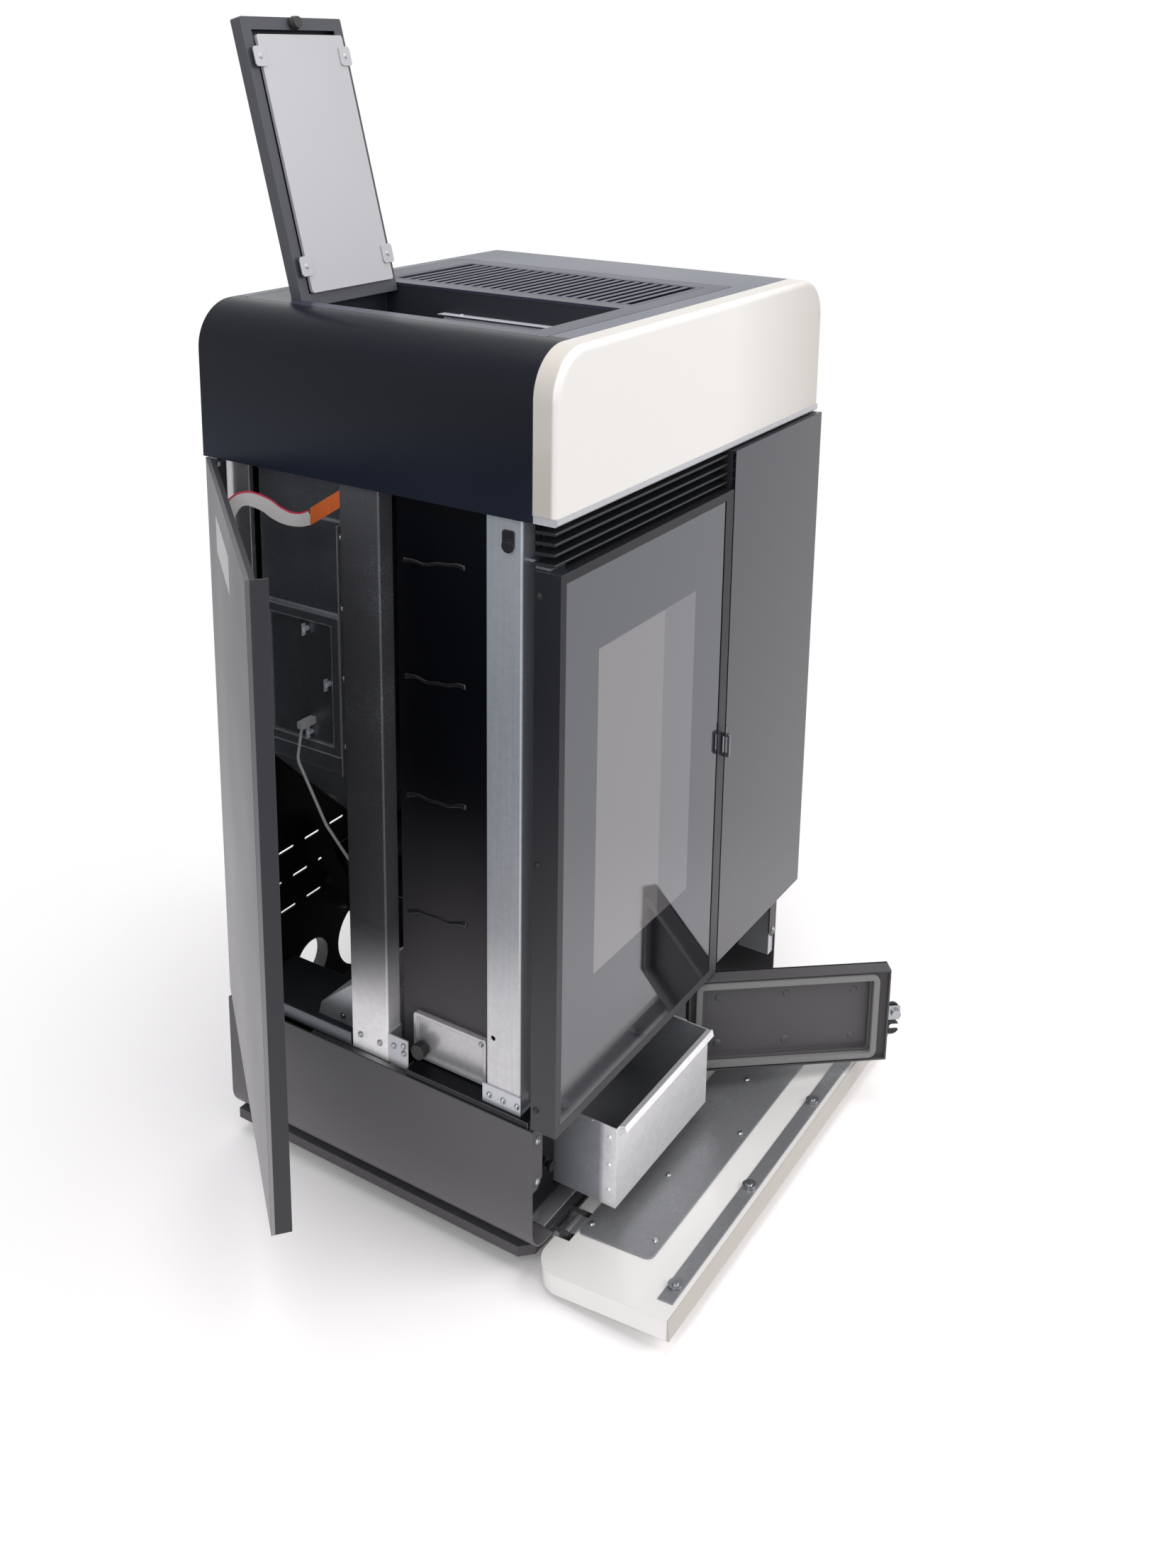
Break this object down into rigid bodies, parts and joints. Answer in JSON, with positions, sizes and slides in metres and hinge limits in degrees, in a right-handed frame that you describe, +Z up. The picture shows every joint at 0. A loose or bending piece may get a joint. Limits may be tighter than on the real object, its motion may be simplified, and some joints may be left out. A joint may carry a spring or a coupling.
{
  "type": "pellet stove",
  "caption": "Free-standing pellet stove, open for service: lid, glass door, side door, ash door, ash pan and lower flap move; feed screw and smoke fan turn inside.",
  "frame": {"origin": "on the floor, under the middle of the casing", "axes": "+X to the right of someone facing the stove, +Y to the rear, +Z up"},
  "size_m": [0.8667, 0.6978, 1.3278],
  "materials": {
    "black_paint": "matt",
    "plinth_paint": "matt",
    "base_paint": "matt",
    "casing_paint": "satin",
    "top_paint": "satin",
    "cream_enamel": "gloss",
    "lip_metal": "satin",
    "galvanised": "galvanised",
    "bracket_steel": "satin",
    "screw_steel": "bright",
    "dark_glass": "dark coated",
    "stove_iron": "heatproof matt",
    "cast_lining": "cast",
    "throat_steel": "satin",
    "cast_alloy": "cast",
    "motor_metal": "satin",
    "black_plastic": "matt",
    "white_lead": "matt",
    "orange_plastic": "matt",
    "ribbon_lead": "matt",
    "rope_seal": "woven",
    "handle_metal": "polished",
    "door_paint": "satin"
  },
  "bodies": {
    "stove": {"support_frame": "black_paint", "plinth_rail": "plinth_paint", "base_sides": "base_paint", "base_floor": "galvanised", "deck": "galvanised", "post_feet": "bracket_steel", "mid_posts": "galvanised", "front_posts": "galvanised", "rear_posts": "galvanised", "rear_panel": "black_paint", "top_casing": "casing_paint", "top_plate": "top_paint", "top_grille": "top_paint", "front_band": "cream_enamel", "band_lip": "lip_metal", "louvre": "top_paint", "right_glass": "dark_glass", "right_trays": "black_paint", "fire_body": "stove_iron", "fire_face": "stove_iron", "fire_lining": "cast_lining", "burn_pot": "cast_lining", "ash_box": "black_paint", "hopper_throat": "throat_steel", "hopper_box": "black_paint", "hopper_screws": "screw_steel", "side_covers": "galvanised", "auger_tube": "black_paint", "smoke_housing": "cast_alloy", "drive_motors": "motor_metal", "air_ducts": "galvanised", "electrics": "black_plastic", "sensor_cable": "white_lead", "display_plug": "orange_plastic", "display_lead": "ribbon_lead", "hinge_pins": "screw_steel"},
    "glass_door": {"glass_door_frame": "casing_paint", "door_glass": "dark_glass", "pane_holder": "black_paint", "door_gasket": "rope_seal", "door_handle": "handle_metal"},
    "side_door": {"side_door_frame": "door_paint", "side_door_glass": "dark_glass", "display": "black_plastic"},
    "pellet_lid": {"lid_frame": "casing_paint", "lid_liner": "galvanised", "lid_knob": "black_plastic"},
    "ash_door": {"ash_door_shell": "base_paint", "ash_door_liner": "base_paint", "ash_door_gasket": "rope_seal", "latch_bolt": "screw_steel"},
    "ash_latch": {"latch_hook": "bracket_steel"},
    "ash_drawer": {"ash_pan": "galvanised"},
    "lower_flap": {"flap_shell": "cream_enamel", "flap_plates": "galvanised", "flap_fasteners": "screw_steel"},
    "feed_screw": {"auger_screw": "screw_steel"},
    "smoke_fan": {"smoke_wheel": "cast_alloy"},
    "scraper_pull": {"cleaning_lever": "black_plastic"},
    "cover_knob": {"inspection_knob": "black_plastic"}
  },
  "joints": [
    {"name": "lid_hinge", "type": "hinge", "parent": "stove", "child": "pellet_lid", "pos_m": [-0.139, 0.147, 1.022], "axis": [-1, 0, 0], "range_deg": [-104.5, 0]},
    {"name": "side_door_hinge", "type": "hinge", "parent": "stove", "child": "side_door", "pos_m": [-0.291, 0.205, 0.527], "axis": [0, 0, -1], "range_deg": [-40, 70], "deforming": ["display_lead"]},
    {"name": "glass_door_hinge", "type": "hinge", "parent": "stove", "child": "glass_door", "pos_m": [-0.29, -0.23, 0.503], "axis": [0, 0, -1], "range_deg": [0, 105]},
    {"name": "ash_door_hinge", "type": "hinge", "parent": "stove", "child": "ash_door", "pos_m": [0.04, -0.215, 0.1245], "axis": [0, 0, 1], "range_deg": [-129, 10]},
    {"name": "latch_pivot", "type": "hinge", "parent": "ash_door", "child": "ash_latch", "pos_m": [0.21399, -0.42668, 0.1205], "axis": [0.7771, 0.6293, 0], "range_deg": [-90, 0]},
    {"name": "ash_pan_slide", "type": "slide", "parent": "stove", "child": "ash_drawer", "axis": [0, -1, 0], "range_m": [-0.0891, 0.007]},
    {"name": "flap_hinge", "type": "hinge", "parent": "stove", "child": "lower_flap", "pos_m": [0, -0.231, 0.026], "axis": [-1, 0, 0], "range_deg": [0, 3]},
    {"name": "feed_screw_turn", "type": "hinge", "parent": "stove", "child": "feed_screw", "pos_m": [-0.14575, 0.048, 0.38985], "axis": [0, -0.8048, 0.5935], "continuous": true},
    {"name": "smoke_fan_turn", "type": "hinge", "parent": "stove", "child": "smoke_fan", "pos_m": [0.13, 0.16, 0.158], "axis": [0, 1, 0], "continuous": true},
    {"name": "scraper_slide", "type": "slide", "parent": "stove", "child": "scraper_pull", "axis": [-1, 0, 0], "range_m": [0, 0.025]},
    {"name": "cover_knob_turn", "type": "hinge", "parent": "stove", "child": "cover_knob", "pos_m": [-0.28, -0.06, 0.214], "axis": [-1, 0, 0], "continuous": true}
  ],
  "couplings": [
    {"joint": "ash_pan_slide", "follows": "ash_door_hinge", "m_per_rad": 0.03953}
  ]
}
